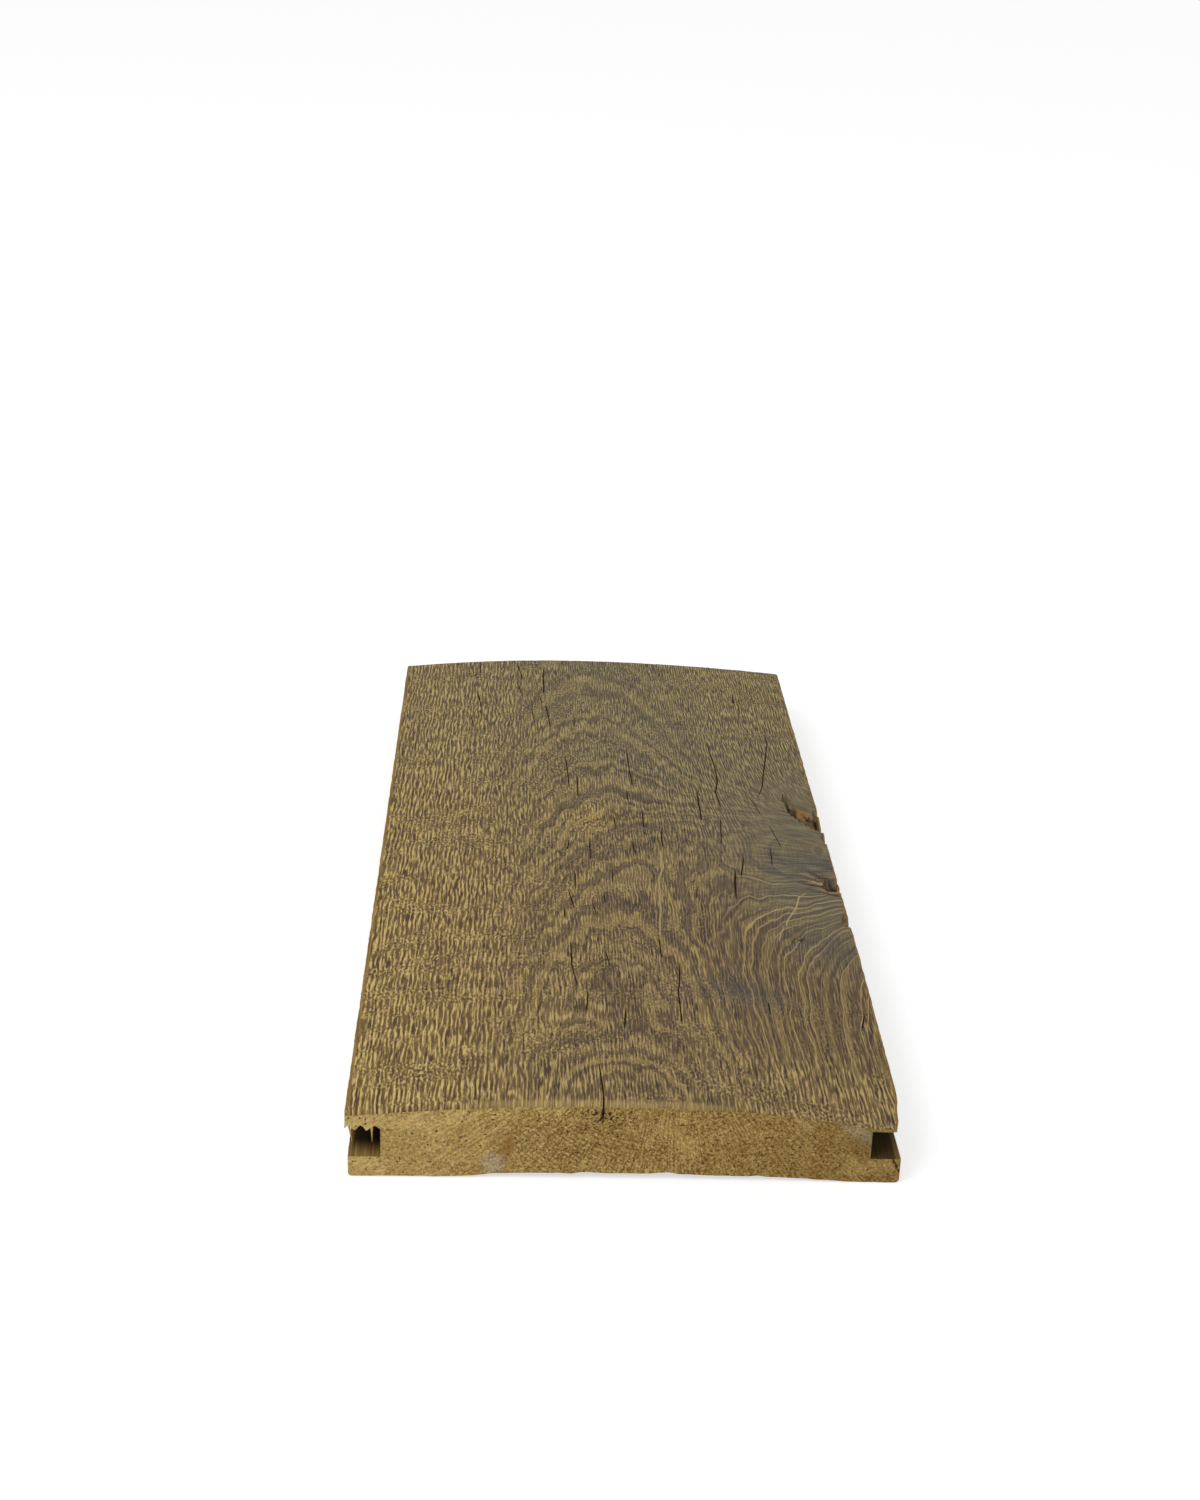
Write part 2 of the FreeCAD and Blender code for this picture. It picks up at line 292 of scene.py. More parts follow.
plank = {
    "faceStep": 0.53, "edgeStep": 2.2, "ceilingStep": 0.65, "underStep": 3.6,  # between columns
    "rows": 164, "nearShare": 0.66,  # rows along the board, closer together at the front
    "sectionAt": 150.0,  # where the CAD solid is whole, for its section
    "frontEasing": 2.4, "easingRows": 5,
    "frontCell": 1.0, "backCell": 2.5,  # of the sawn ends
    "edgeTop": 27.0, "grooveMiddle": 15.0,  # heights of the face at the long edges, of both grooves
    "faceInset": 0.9, "lipInset": 0.95,  # in from the long edges: face further in, lips within
    "faceAbove": 25.2, "underBelow": 4.0, "hollowTop": 2.6,  # heights that tell the sides apart
    "ceilingHeights": (19.0, 20.5), "ceilingTo": -87.4,  # of the left groove
    "lipLeft": 0.5,  # least wood over a groove
    "faceRelief": 0.26, "endRelief": 0.35, "sideRelief": 0.12,
}
faceSlot, edgeSlot, underSlot, endSlot = range(4)  # of the board's materials


def mergedCopy(node):
    bm = bmesh.new()
    bm.from_mesh(node.data)
    bmesh.ops.remove_doubles(bm, verts=bm.verts, dist=1e-6)
    return bm


def onCeiling(x, z):
    low, high = plank["ceilingHeights"]
    return (z > low) & (z < high) & (x < plank["ceilingTo"])


# the x and z of the whole section, going round it in short steps
def sectionLoop(node):
    straightTo, faceFrom, underFrom = 0.004, 0.5, 3  # radians, then mm in from the long edges
    bm = mergedCopy(node)
    everything = bm.verts[:] + bm.edges[:] + bm.faces[:]
    station = (0, plank["sectionAt"] * mm, 0)
    bmesh.ops.bisect_plane(
        bm, geom=everything, plane_co=station, plane_no=(0, 1, 0), clear_inner=True, clear_outer=True)
    straight = [v for v in bm.verts if v.calc_edge_angle(math.pi) < straightTo]
    bmesh.ops.dissolve_verts(bm, verts=straight)
    for edge in bm.edges[:]:
        x, _, z = (edge.verts[0].co + edge.verts[1].co) / 2 / mm
        inward = halfWidth - abs(x)
        step = plank["edgeStep"]
        if z > plank["faceAbove"] and inward > faceFrom:
            step = plank["faceStep"]
        elif z < plank["underBelow"] and inward > underFrom:
            step = plank["underStep"]
        elif onCeiling(x, z):
            step = plank["ceilingStep"]
        cuts = round(edge.calc_length() / (step * mm)) - 1
        if cuts > 0:
            bmesh.ops.subdivide_edges(bm, edges=[edge], cuts=cuts)
    start = min(bm.verts, key=lambda v: (v.co.x, v.co.z))
    here, before, loop = start, None, []
    while not loop or here != start:
        loop.append((here.co.x / mm, here.co.z / mm))
        following = [e.other_vert(here) for e in here.link_edges if e.other_vert(here) != before]
        before, here = here, following[0]
    bm.free()
    return np.array(loop)


def rowStations(low, high):
    turns = np.linspace(0, math.pi / 2, plank["easingRows"])
    easing = low + plank["frontEasing"] * (1 - np.cos(turns))
    t = np.linspace(0, 1, plank["rows"] - plank["easingRows"] + 1)[1:]
    near = plank["nearShare"]
    rest = easing[-1] + (high - easing[-1]) * (near * t + (1 - near) * t * t)
    return np.concatenate([easing, rest])


# the x of a check at each station, and how strongly it holds there
def checkPath(points, stations):
    points = sorted(points, key=lambda p: p[1])
    ys = [p[1] for p in points]
    xs = np.interp(stations, ys, [p[0] for p in points])
    fade = smooth(ys[0] - checkFade, ys[0], stations)
    fade = fade * (1 - smooth(ys[-1], ys[-1] + checkFade, stations))
    return xs, fade, ys[0], ys[-1]


# pulls the columns of the walking face so that one runs down the middle of each check
def followChecks(x, stations):
    base = x[0].copy()
    pinned = smooth(0, 8, halfWidth - np.abs(base))
    apart = 2  # columns between two checks
    held = []
    for hue, half, *points in dryingChecks:
        path, fade, near, far = checkPath(points, stations)
        active = fade > 0
        taken = set()
        for other in held:
            if (other["active"] & active).any():
                taken.update(range(other["column"] - apart, other["column"] + apart + 1))
        nearest = np.argsort(np.abs(base - path.mean()))
        free = [c for c in nearest if apart < c < len(base) - apart - 1 and c not in taken]
        held.append(dict(
            hue=hue, half=half, path=path, fade=fade, near=near, far=far, column=free[0], active=active))
    for _ in range(4):  # each pull shifts its neighbours a little, so they take turns
        for check in held:
            column = check["column"]
            shift = (check["path"] - x[:, column]) * check["fade"]
            reach = max(5.0, 2.5 * np.abs(shift).max())
            x += shift[:, None] * (pinned * np.exp(-((base - base[column]) / reach) ** 2))[None, :]
    for check in held:
        column, fade = check["column"], check["fade"]
        for side in (-1, 1):
            wanted = x[:, column] + side * check["half"]
            x[:, column + side] += (wanted - x[:, column + side]) * fade
    least = 0.04 * np.arange(len(base))  # columns keep this much apart
    x[:] = np.maximum.accumulate(x - least, axis=1) + least
    return held


# the height of the solid under a place, or the fallback past its edges
def dropRay(caster, x, y, fallback):
    rayFrom = 60  # mm, well above the board
    above = Vector((x * mm, y * mm, rayFrom * mm))
    hit = caster.ray_cast(above, Vector((0, 0, -1)))[0]
    return hit.z / mm if hit else fallback


# rows and columns of points on the CAD solid, and which columns lie in the walking face
def fitToCad(node):
    low, high = (np.array(corner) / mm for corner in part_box("floorboard"))
    stations = rowStations(low[1], high[1])
    loop = sectionLoop(node)
    p = np.zeros((len(stations), len(loop), 3))
    p[:, :, 0], p[:, :, 1], p[:, :, 2] = loop[None, :, 0], stations[:, None], loop[None, :, 1]
    baseX, baseZ = loop.T
    edgeTop = plank["edgeTop"]
    slack, endInset = 0.05, 0.02  # for points at a height, and for rays near the ends
    face = np.flatnonzero((baseZ > edgeTop - slack) & (np.abs(baseX) < high[0] - plank["faceInset"]))
    face = face[np.argsort(baseX[face])]
    x = p[:, face, 0]
    checks = followChecks(x, stations)

    bm = mergedCopy(node)
    caster = BVHTree.FromBMesh(bm)
    bm.free()
    inner = np.clip(stations, low[1] + endInset, high[1] - endInset)
    z = np.empty_like(x)
    for r, y in enumerate(inner):
        for c in range(len(face)):
            z[r, c] = dropRay(caster, x[r, c], y, edgeTop)
    # the end split is opened later, as a narrow one
    split, half = endSplit["x"], endSplit["half"]
    for r in np.flatnonzero(stations < endSplit["cadBack"]):
        inside = np.abs(x[r] - split) < half
        z[r, inside] = np.interp(x[r, inside], x[r, ~inside], z[r, ~inside])
    for centreX, centreY, length, width, turn, depth, _ in knotMarks:
        z -= depth * oval(x, stations[:, None], centreX, centreY, length, width, turn)

    # over the grooves some wood stays, and the lips are squeezed under the worn face
    for side, edge in ((-1, 0), (1, -1)):
        outer = baseX * side > high[0] - plank["lipInset"]
        lip = np.flatnonzero(outer & (baseZ > plank["grooveMiddle"]))
        ceiling = baseZ[lip].min()
        wall = np.abs(baseX[(np.abs(baseZ - ceiling) < 2 * slack) & (baseX * side > 0)]).min()
        over = x * side > wall
        z = np.where(over, np.maximum(z, ceiling + plank["lipLeft"]), z)
        share = (baseZ[lip] - ceiling) / (edgeTop - ceiling)
        p[:, lip, 2] = ceiling + share[None, :] * (z[:, edge] - ceiling)[:, None]
    p[:, face, 0] = x
    p[:, face, 2] = z
    fray(p, loop, stations)
    return p, face, checks, stations


# opens the checks in the walking face
def openChecks(p, face, checks, stations):
    marks = {name: np.zeros(p.shape[:2]) for name in checkDepth}
    for check in checks:
        along = (stations - check["near"]) / (check["far"] - check["near"])
        opening = np.sqrt(np.clip(4 * along * (1 - along), 0, 1)) * ((along > 0) & (along < 1))
        column = face[check["column"]]
        if check["near"] < stations[0]:
            opening = smooth(check["far"], check["far"] - endSplit["closing"], stations)
            split = smooth(endSplit["back"], stations[0], stations)
            p[:, column, 2] -= endSplit["depth"] * split
            marks["black"][:, column] = split
        p[:, column, 2] -= checkDepth[check["hue"]] * opening
        shown = marks[check["hue"]]
        shown[:, column] = np.maximum(shown[:, column], np.minimum(1, 1.6 * opening))
    return marks


# Torn and chipped edges of the section: how far each place along an edge is broken back.

frayed = {
    "lowerFront": (  # x along the lower front edge, and the height of the wood lost over it
        (-99, 0.0), (-93.8, 0.2), (-69.6, 0.3), (-52.5, 0.2), (-50.5, 0.5), (-48.2, 0.9), (-30, 0.6),
        (-19.2, 0.15), (-18.0, 0.9), (-8.8, 0.3), (5, 0.0), (16, 0.8), (18.6, 0.2), (30, 0.0), (46, 0.0),
        (47.6, 0.5), (49.5, 0.3), (51.5, 0.1), (63, 0.3), (70, 0.1), (99, 0.0)),
    "lowerChips": 0.18, "lowerReach": 3.5,
    # y along the right lip's corner, and how far it is broken in
    "lipCorner": ((-225, 3.4), (-221.4, 3.0), (-220.5, 2.2), (-212, 1.6), (-207, 0.5), (-200, 0.0)),
    "ceiling": (  # x along the left groove's ceiling, and how far it is torn up
        (-100, 0.0), (-99.5, 0.3), (-98.8, 1.2), (-97.8, 0.9), (-96.6, -0.9), (-95.4, -0.2), (-94.6, 1.2),
        (-93.4, 0.8), (-92.4, -0.9), (-91.2, -0.5), (-90.2, 0.9), (-88.8, 1.1), (-87.9, 0.2), (-87.3, 0.0)),
    "ceilingReach": 2.6,
    "upperWear": 0.35, "upperFrom": (88.5, 20.5),  # x and z that the upper lips lie beyond
    "lowerWear": 0.25, "lowerFrom": (97.5, 9.5),  # and the lower lips' outer faces, below this z
    # torn fibres that hang in the left groove: x, y and z of the root, x, y and z of the tip
    "splinters": (
        ((-98.4, -224.3, 21.8), (-97.2, -224.6, 14.0)),
        ((-90.3, -224.3, 21.0), (-90.1, -224.6, 14.1))),
    "splinterThickness": 1.2, "splinterTip": 0.16,
}
lipCrack = {
    "points": ((96.1, 10.1), (96.6, 8.8), (97.7, 7.3), (98.0, 5.9), (99.0, 4.4)),
    "half": 0.22, "depth": 2.4,
}


# breaks back the lower front edge, the left groove's ceiling and the lips
def fray(p, loop, stations):
    x, z = loop.T
    fromFront = stations - stations[0]
    under = np.flatnonzero((z < plank["hollowTop"]) & (np.abs(x) < 99))
    lost = np.interp(x[under], *zip(*frayed["lowerFront"]))
    lost = lost + frayed["lowerChips"] * (1 + unevenness(x[under] / 2.2, 3.1))
    fade = 1 - smooth(0.3, frayed["lowerReach"], fromFront)
    p[:, under, 2] += fade[:, None] * lost[None, :]
    ceiling = np.flatnonzero(onCeiling(x, z))
    torn = np.interp(x[ceiling], *zip(*frayed["ceiling"]))
    fade = 1 - smooth(0.4, frayed["ceilingReach"], fromFront)
    p[:, ceiling, 2] += fade[:, None] * torn[None, :]
    upperX, upperZ = frayed["upperFrom"]
    lowerX, lowerZ = frayed["lowerFrom"]
    for side, seed in ((-1, 7.3), (1, 11.9)):
        wear = 0.5 + 0.5 * unevenness(stations / 6.0, seed) + 0.5 * unevenness(stations / 2.1, seed + 5)
        wear = frayed["upperWear"] * np.clip(wear, 0, 1.5)
        if side > 0:
            wear = wear + np.interp(stations, *zip(*frayed["lipCorner"]))
        upper = np.flatnonzero((x * side > upperX) & (z > upperZ))
        share = smooth(upperX, 102, np.abs(x[upper]))
        p[:, upper, 0] -= side * wear[:, None] * share[None, :]
        lower = np.flatnonzero((x * side > lowerX) & (z < lowerZ))
        wear = frayed["lowerWear"] * np.clip(0.4 + unevenness(stations / 4.0, seed + 9), 0, 1.5)
        p[:, lower, 0] -= side * wear[:, None]


# a strip of the board's skin, as a tube through rows of points
def makeTube(p, marks, kind):
    rows, count = p.shape[:2]
    bm = bmesh.new()
    bmesh.ops.create_grid(bm, x_segments=count, y_segments=rows - 1, size=1)
    closing = np.append(np.arange(count), 0)
    for v, place in zip(bm.verts, p[:, closing].reshape(-1, 3)):
        v.co = place
    bm.verts.ensure_lookup_table()
    layers = {name: bm.verts.layers.float.new(name + "Check") for name in marks}
    for name, layer in layers.items():
        values = marks[name][:, closing].ravel()
        for k in np.flatnonzero(values):
            bm.verts[int(k)][layer] = values[k]
    for k, f in enumerate(bm.faces):
        c = k % count
        kinds = {kind[closing[c]], kind[closing[c + 1]]}
        f.material_index = int(kinds.pop()) if len(kinds) == 1 else edgeSlot
    inOrder = list(bm.verts)
    first, last = inOrder[0::count + 1], inOrder[count::count + 1]
    bmesh.ops.weld_verts(bm, targetmap=dict(zip(last, first)))
    return bm


# cuts part of an end along a plane, and gives back what it then consists of
def cutThrough(bm, geom, place, normal):
    return bmesh.ops.bisect_plane(bm, geom=geom, dist=0.02, plane_co=place, plane_no=normal)["geom"]


def facesOf(geom):
    return [part for part in geom if isinstance(part, bmesh.types.BMFace)]


# closes an end and cuts it into square cells
def capEnd(bm, y, cell):
    rim = [e for e in bm.edges if all(abs(v.co.y - y) < 0.001 for v in e.verts)]
    cap = bmesh.ops.contextual_create(bm, geom=rim)["faces"]
    corners = {v for e in rim for v in e.verts}
    geom = cap + rim + list(corners)
    for axis in (0, 2):
        reach = [v.co[axis] for v in corners]
        low, high = min(reach), max(reach)
        count = round((high - low) / cell)
        for k in range(1, count):
            place, normal = Vector(), Vector()
            place[axis], normal[axis] = low + (high - low) * k / count, 1
            geom = cutThrough(bm, geom, place, normal)
    faces = facesOf(geom)
    for f in faces:
        f.material_index = endSlot
    return faces


# opens a crack in an end: three cuts along each stretch of it, and the middle one pushed in
def crackEnd(bm, y, faces, points, half, depth):
    cutReach, onLine = 1.2, 0.03  # to either side of the crack's middle
    faces = set(faces)
    sunk = set()
    for (ax, az), (bx, bz) in zip(points, points[1:]):
        middle = Vector(((ax + bx) / 2, y, (az + bz) / 2))
        aside = Vector((bz - az, 0, ax - bx)).normalized()
        along = Vector((bx - ax, 0, bz - az))
        reach = along.length / 2
        along.normalize()
        for shift in (-half, half, 0):
            near = [f for f in faces if abs((f.calc_center_median() - middle).dot(along)) < reach
                    and abs((f.calc_center_median() - middle).dot(aside)) < cutReach]
            edges, corners = {e for f in near for e in f.edges}, {v for f in near for v in f.verts}
            geom = near + list(edges) + list(corners)
            faces.update(facesOf(cutThrough(bm, geom, middle + aside * shift, aside)))
        for v in {v for f in faces for v in f.verts}:
            if abs((v.co - middle).dot(aside)) < onLine and abs((v.co - middle).dot(along)) < reach:
                sunk.add(v)
    for v in sunk:
        v.co.y += math.copysign(depth, -y)
    for f in faces:
        f.material_index = endSlot
    return sunk


def addSplinters(bm):
    for root, tip in frayed["splinters"]:
        root, tip = Vector(root), Vector(tip)
        turn = (tip - root).to_track_quat("Z", "Y").to_matrix().to_4x4()
        made = bmesh.ops.create_cone(
            bm, cap_ends=True, segments=6, radius1=frayed["splinterThickness"] / 2,
            radius2=frayed["splinterTip"] / 2, depth=(tip - root).length,
            matrix=Matrix.Translation((root + tip) / 2) @ turn)
        for f in {f for v in made["verts"] for f in v.link_faces}:
            f.material_index = endSlot


# the closed skin of the whole board: a tube along it, and a grid of cells over each sawn end
def makeSkin():
    p, face, checks, stations = fitToCad(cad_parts["floorboard"])
    marks = openChecks(p, face, checks, stations)
    rows, count = p.shape[:2]
    kind = np.full(count, edgeSlot)
    kind[face] = faceSlot
    kind[(p[-1, :, 2] < plank["hollowTop"]) & (np.abs(p[0, :, 0]) < 98)] = underSlot
    print("skin: %d rows of %d columns" % (rows, count))

    bm = bmesh.new()
    cells = {0: plank["frontCell"], rows - 2: plank["backCell"]}
    for start, stop in ((0, 2), (1, rows - 1), (rows - 2, rows)):
        part = makeTube(p[start:stop], {name: mark[start:stop] for name, mark in marks.items()}, kind)
        if start in cells:
            y = p[0 if start == 0 else -1, 0, 1]
            cap = capEnd(part, y, cells[start])
            if start == 0:
                sunk = crackEnd(part, y, cap, **lipCrack)
                print("crack in the lip: %d points" % len(sunk))
        strip = meshFrom(part, "strip")
        bm.from_mesh(strip)
        bpy.data.meshes.remove(strip)
    bmesh.ops.remove_doubles(bm, verts=[v for v in bm.verts if v.is_boundary], dist=0.0005)
    addSplinters(bm)
    bmesh.ops.recalc_face_normals(bm, faces=bm.faces)
    print("open edges: %d" % sum(len(e.link_faces) != 2 for e in bm.edges))
    bmesh.ops.scale(bm, vec=(mm, mm, mm), verts=bm.verts)
    return meshFrom(bm, "floorboard_oak")


# Where the looks of the walking face change. A spot has its strength, the x and y of its
# middle, and its reach in X and in Y.

spots = {
    "gold": ((0.8, -6, 17, 9, 16), (0.45, 75, -215, 55, 55), (0.35, 80, 190, 60, 80)),
    "coarse": ((0.9, 75, -215, 55, 60),),
    "calm": ((1.25, 104, -15, 42, 75),),  # beside the branches, where the brush left less grain
    "stain": (
        (0.7, 45, -135, 12, 11), (0.45, 58, -143, 9, 8), (1.1, 93, -17, 18, 8.5),
        (0.6, 88, -95, 12, 14), (0.55, 87, -38, 13, 10)),
}


def spotted(name, x, y):
    return sum(strength * hump(x, y, *spot) for strength, *spot in spots[name])


# how plainly the rings show as arches: at the right, and fainter along the middle
def archedAt(x, y):
    right = smooth(25, 60, x) * (0.3 + 0.7 * smooth(-15, -45, y)) * smooth(110, 60, y)
    right = right * smooth(-215, -170, y)
    middle = 0.5 * smooth(60, 20, np.abs(x + 2)) * (1 - 0.4 * smooth(60, 160, y))
    slope = np.hypot(ringAt(x + 1, y) - ringAt(x - 1, y), ringAt(x, y + 1) - ringAt(x, y - 1)) / 2
    return np.clip(right + middle, 0, 1) * smooth(0.8, 0.5, slope)


# painted shade in the grooves: how dark they are, lighter towards their open front and back ends
def paintedGrooveShadeAt(x, y, z):
    inGroove = smooth(halfWidth, halfWidth - 2.5, np.abs(x)) * smooth(8.0, 8.4, z) * smooth(21.8, 21.4, z)
    inward = halfLength - np.abs(y)
    left, right = 0.1 + 0.9 * smooth(1, 12, inward), 0.76 + 0.24 * smooth(4, 26, inward)
    return inGroove * np.where(x < 0, left, right)


# writes what the relief and the materials read at each point of the mesh
def paintSkin(mesh):
    co = np.empty(len(mesh.vertices) * 3)
    mesh.vertices.foreach_get("co", co)
    x, y, z = (co.reshape(-1, 3) / mm).T
    below = np.where(z < 21, plank["edgeTop"] - z, 0.0)
    fromFront, fromBack = y + halfLength, halfLength - y
    onFace = smooth(20.5, 23.5, z) * smooth(0.5, 3, fromFront) * smooth(0, 2, fromBack)
    onEnd = np.minimum(fromFront, fromBack) < 0.01
    sawn = np.where(onEnd, plank["endRelief"], plank["sideRelief"])
    gold = smooth(30, -95, x) * (1.0 - 0.0012 * fromFront)
    painted = {
        "ring": ringAt(x, y, below),
        "across": acrossGrain(x, y),
        "arched": archedAt(x, y),
        "coarse": np.clip(smooth(10, -60, x) + spotted("coarse", x, y), 0, 1),
        "crumbs": 1 - 0.9 * smooth(20, 60, x) * smooth(-150, -110, y) * smooth(140, 90, y),
        "brushed": onFace * plank["faceRelief"],
        "rough": np.where(onFace > 0.01, 0.0, sawn),
        "gold": np.clip(gold + spotted("gold", x, y), 0, 1),
        "olive": smooth(-120, 170, y + 0.4 * x),
        "calm": np.clip(spotted("calm", x, y), 0, 1),
        "stain": np.clip(spotted("stain", x, y), 0, 1),
        # painted shade in the grooves
        "paintedGrooveShade": paintedGrooveShadeAt(x, y, z),
        "arris": smooth(3, 0.8, fromFront) * smooth(60, 30, np.abs(x + 8)) * smooth(27, 30, z),
    }
    for name, values in painted.items():
        layer = mesh.attributes.new(name, "FLOAT", "POINT")
        layer.data.foreach_set("value", values.astype(np.float32))


def makePlank():
    mesh = makeSkin()
    paintSkin(mesh)
    piece = addObject("floorboard_oak", mesh)
    for material in (brushedFace(), planedEdge(), sawnUnderside(), sawnEnd()):
        mesh.materials.append(material)
    raiseGrain(piece)
    finished = piece.data
    finished.polygons.foreach_set("use_smooth", [True] * len(finished.polygons))
    finished.set_sharp_from_angle(angle=math.radians(50))
    finished.calc_loop_triangles()
    print("floorboard_oak: %d triangles" % len(finished.loop_triangles))
    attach(piece, "root")
    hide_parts("floorboard")


# Brushed grain: thin hard ridges stand in a wavy mesh over the softer wood that the brush
# took out, and the lines of some rings stand with them. The same nodes shape the mesh and
# colour it.

brushed = {
    "ridgeEvery": 1.9, "threadEvery": 1.25,  # mm between lines, at the left and in the middle
    "swing": 1.7, "ringWobble": 1.6,  # how many lines or rings they stray
    "noises": {  # size across and along the fibres, detail
        "ridge": (4.5, 17.0, 1.0), "thread": (3.5, 14.0, 1.0), "fibre": (0.8, 8.0, 1.5),
        "crumb": (0.9, 1.9, 1.5), "crumbly": (50.0, 17.0, 2.0), "blotch": (13.0, 10.0, 2.0),
        "patch": (3.2, 21.0, 1.0), "wobble": (8.0, 26.0, 1.0)},
    "fanX": 165.0, "fanY": -14.0, "fanSize": (1 / 58, 14.0, math.inf),  # radians round it, mm out
    "sweptSize": (13.0, 13.0, math.inf), "sweptTurns": 3.4,
    "sweptFrom": -35.0, "sweptTo": -62.0,  # along the board, from the fan to the rings
}


# places measured in the given sizes; math.inf leaves an axis out
def scaledPlace(tree, place, size):
    return addNode(tree, "VectorMath", {0: place, 1: tuple(1 / s for s in size)}, operation="MULTIPLY")


# noise with bumps of about the given size along x, y and z
def stretchedNoise(tree, place, size, detail, roughness=0.5, **settings):
    return addNode(tree, "TexNoise", {
        "Vector": scaledPlace(tree, place, size), "Scale": 1.0, "Detail": detail,
        "Roughness": roughness}, **settings)


# a wave with a crest at each whole number of the phase
def crests(tree, phase):
    turns = addNode(tree, "Math", {0: phase, 1: 2 * math.pi}, operation="MULTIPLY")
    return addNode(tree, "Math", {0: turns}, operation="COSINE")


# the grain's height from 0 to 1; the mesh is too coarse for what only the material shows
def addBrushedRelief(tree, read, fine):
    grain = addNode(tree, "CombineXYZ", {0: read["across"], 1: read["along"]})
    n = {
        name: stretchedNoise(tree, grain, (sizeX, sizeY, math.inf), detail, 0.6, noise_dimensions="2D")
        for name, (sizeX, sizeY, detail) in brushed["noises"].items()
    }
    lines = {}
    for name in ("ridge", "thread"):
        swing = addNode(tree, "Math", {0: n[name], 1: brushed["swing"]}, operation="MULTIPLY")
        lines[name] = crests(tree, addNode(tree, "Math", {
            0: read["across"], 1: 1 / brushed[name + "Every"], 2: swing}, operation="MULTIPLY_ADD"))
    thread = lines["thread"] if fine else 0.0
    wave = addNode(tree, "Mix", {0: read["coarse"], 2: thread, 3: lines["ridge"]})
    marks = n["fibre"]
    if fine:
        crumbly = addNode(tree, "MapRange", {
            "Value": n["crumbly"], "From Min": 0.42, "From Max": 0.62, "To Max": 0.8})
        crumbly = addNode(tree, "Math", {0: crumbly, 1: read["crumbs"]}, operation="MULTIPLY")
        marks = addNode(tree, "Mix", {0: crumbly, 2: marks, 3: n["crumb"]})
        held = addNode(tree, "Math", {0: crumbly, 1: -0.6, 2: 1.0}, operation="MULTIPLY_ADD")
        wave = addNode(tree, "Math", {0: wave, 1: held}, operation="MULTIPLY")
    marks = addNode(tree, "MapRange", {"Value": marks, "To Min": -1.25, "To Max": 1.55}, clamp=False)
    marks = addNode(tree, "Math", {0: n["blotch"], 1: 0.65, 2: marks}, operation="MULTIPLY_ADD")
    height = addNode(tree, "Math", {0: wave, 1: 0.38, 2: marks}, operation="MULTIPLY_ADD", use_clamp=True)
    # hard lines of latewood, where the rings run out in arches
    phase = addNode(tree, "Math", {
        0: n["wobble"], 1: brushed["ringWobble"], 2: read["ring"]}, operation="MULTIPLY_ADD")
    line = addNode(tree, "MapRange", {
        "Value": crests(tree, phase), "From Min": 0.7 if fine else 0.2, "From Max": 0.98})
    chosen = addNode(tree, "TexNoise", {"W": phase, "Scale": 0.55, "Detail": 0.0}, noise_dimensions="1D")
    chosen = addNode(tree, "MapRange", {"Value": chosen, "From Min": 0.36, "From Max": 0.56})
    for share in (chosen, read["arched"]):
        line = addNode(tree, "Math", {0: line, 1: share}, operation="MULTIPLY")
    held = addNode(tree, "MapRange", {
        "Value": read["arched"], "From Min": 0.5, "From Max": 0.8, "To Min": 1.0, "To Max": 0.72})
    height = addNode(tree, "Math", {0: height, 1: held}, operation="MULTIPLY")
    height = addNode(tree, "Math", {0: height, 1: line}, operation="MAXIMUM")
    return height, n["patch"], line, phase


def raiseGrain(piece):
    tree = bpy.data.node_groups.new("raised grain", "GeometryNodeTree")
    tree.interface.new_socket("Geometry", in_out="INPUT", socket_type="NodeSocketGeometry")
    tree.interface.new_socket("Geometry", in_out="OUTPUT", socket_type="NodeSocketGeometry")
    start = tree.nodes.new("NodeGroupInput").outputs[0]
    read = {
        name: addNode(tree, "GeometryNodeInputNamedAttribute", {"Name": name}, data_type="FLOAT")
        for name in ("across", "ring", "arched", "coarse", "brushed", "calm", "rough")
    }
    place = addNode(tree, "GeometryNodeInputPosition")
    place = addNode(tree, "VectorMath", {0: place, 3: 1 / mm}, operation="SCALE")
    read["along"] = addNode(tree, "SeparateXYZ", {0: place}, out="Y")
    relief = addBrushedRelief(tree, read, False)[0]
    drop = addNode(tree, "Math", {0: relief, 1: 1.0}, operation="SUBTRACT")
    held = addNode(tree, "MapRange", {"Value": read["calm"], "To Min": mm, "To Max": 0.3 * mm})
    for share in (read["brushed"], held):
        drop = addNode(tree, "Math", {0: drop, 1: share}, operation="MULTIPLY")
    offset = addNode(tree, "CombineXYZ", {2: drop})
    moved = addNode(tree, "GeometryNodeSetPosition", {"Geometry": start, "Offset": offset})
    # the sawn ends and the edges are rough instead
    depth = addNode(tree, "TexNoise", {"Vector": place, "Scale": 0.45, "Detail": 2.0})
    for share in (read["rough"], -mm):
        depth = addNode(tree, "Math", {0: depth, 1: share}, operation="MULTIPLY")
    normal = addNode(tree, "GeometryNodeInputNormal")
    inward = addNode(tree, "VectorMath", {0: normal, 3: depth}, operation="SCALE")
    moved = addNode(tree, "GeometryNodeSetPosition", {"Geometry": moved, "Offset": inward})
    addNode(tree, "NodeGroupOutput", {0: moved})
    modifier = piece.modifiers.new("raised grain", "NODES")
    modifier.node_group = tree
    bpy.context.view_layer.update()
    shaped = bpy.data.meshes.new_from_object(piece.evaluated_get(bpy.context.evaluated_depsgraph_get()))
    piece.modifiers.clear()
    piece.data = shaped


# Materials, on object coordinates in millimetres.


def newMaterial(name):
    material = bpy.data.materials.new(name)
    tree = emptyTree(material)
    place = addNode(tree, "TexCoord", out="Object")
    place = addNode(tree, "VectorMath", {0: place, 3: 1 / mm}, operation="SCALE")
    return material, tree, place


